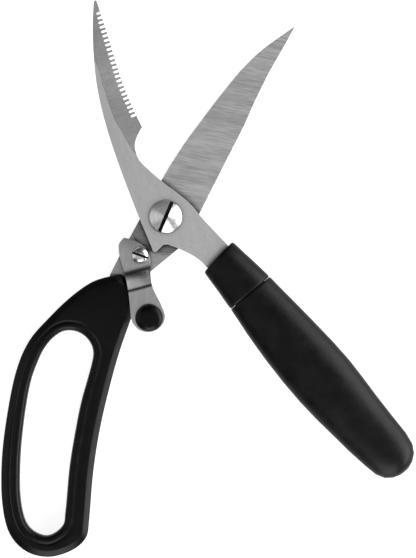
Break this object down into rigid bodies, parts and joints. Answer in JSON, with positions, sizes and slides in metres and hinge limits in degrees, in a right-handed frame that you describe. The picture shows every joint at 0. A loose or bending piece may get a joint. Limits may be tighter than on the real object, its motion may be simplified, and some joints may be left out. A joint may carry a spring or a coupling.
{
  "type": "poultry shears",
  "caption": "Poultry shears: a serrated and a plain blade on a slotted pivot screw, a closed finger loop, a straight oval grip, and a swinging latch with a knob that holds the blades shut.",
  "frame": {"origin": "on the pivot axis, at the rear face of the pivot nut, which is also the plane that the shears lie on", "axes": "+Z along the pivot axis, out of the pivot screw's head; +Y towards the blade tips, along the open shears' length; +X towards the straight grip's side"},
  "size_m": [0.1791, 0.2414, 0.0217],
  "materials": {
    "plain_blade_steel": "ground across the blade",
    "serrated_blade_steel": "fine satin, ground bevel",
    "latch_steel": "satin sheet, bright cut edges",
    "turned_steel": "turned and polished",
    "spring_steel": "drawn wire and strip",
    "dark_steel": "plain",
    "knob_plastic": "satin black",
    "handle_plastic": "satin black moulding",
    "grip_plastic": "satin black moulding"
  },
  "bodies": {
    "loop_arm": {"plain_blade": "plain_blade_steel", "loop_handle": "handle_plastic", "pivot_screw": "turned_steel", "pivot_nut": "turned_steel", "pivot_bush": "dark_steel", "pivot_spring_washer": "spring_steel", "opening_spring": "spring_steel", "stop_pin": "dark_steel", "latch_screw": "turned_steel", "latch_washer": "dark_steel", "latch_nut": "turned_steel"},
    "straight_arm": {"serrated_blade": "serrated_blade_steel", "grip_collar": "grip_plastic", "grip_tang_pin": "dark_steel", "straight_grip": "grip_plastic"},
    "latch": {"latch_lever": "latch_steel", "latch_knob": "knob_plastic", "latch_knob_rivet": "dark_steel"}
  },
  "joints": [
    {"name": "blade_pivot", "type": "hinge", "parent": "loop_arm", "child": "straight_arm", "pos_m": [0, 0, 0.0058], "axis": [0, 0, -1], "range_deg": [0, 52], "stiffness_Nm_per_rad": 0.25, "springref_deg": -28.65, "deforming": ["opening_spring"]},
    {"name": "latch_pivot", "type": "hinge", "parent": "loop_arm", "child": "latch", "pos_m": [-0.0111, -0.0167, 0.0067], "axis": [0, 0, -1], "range_deg": [0, 32]}
  ]
}
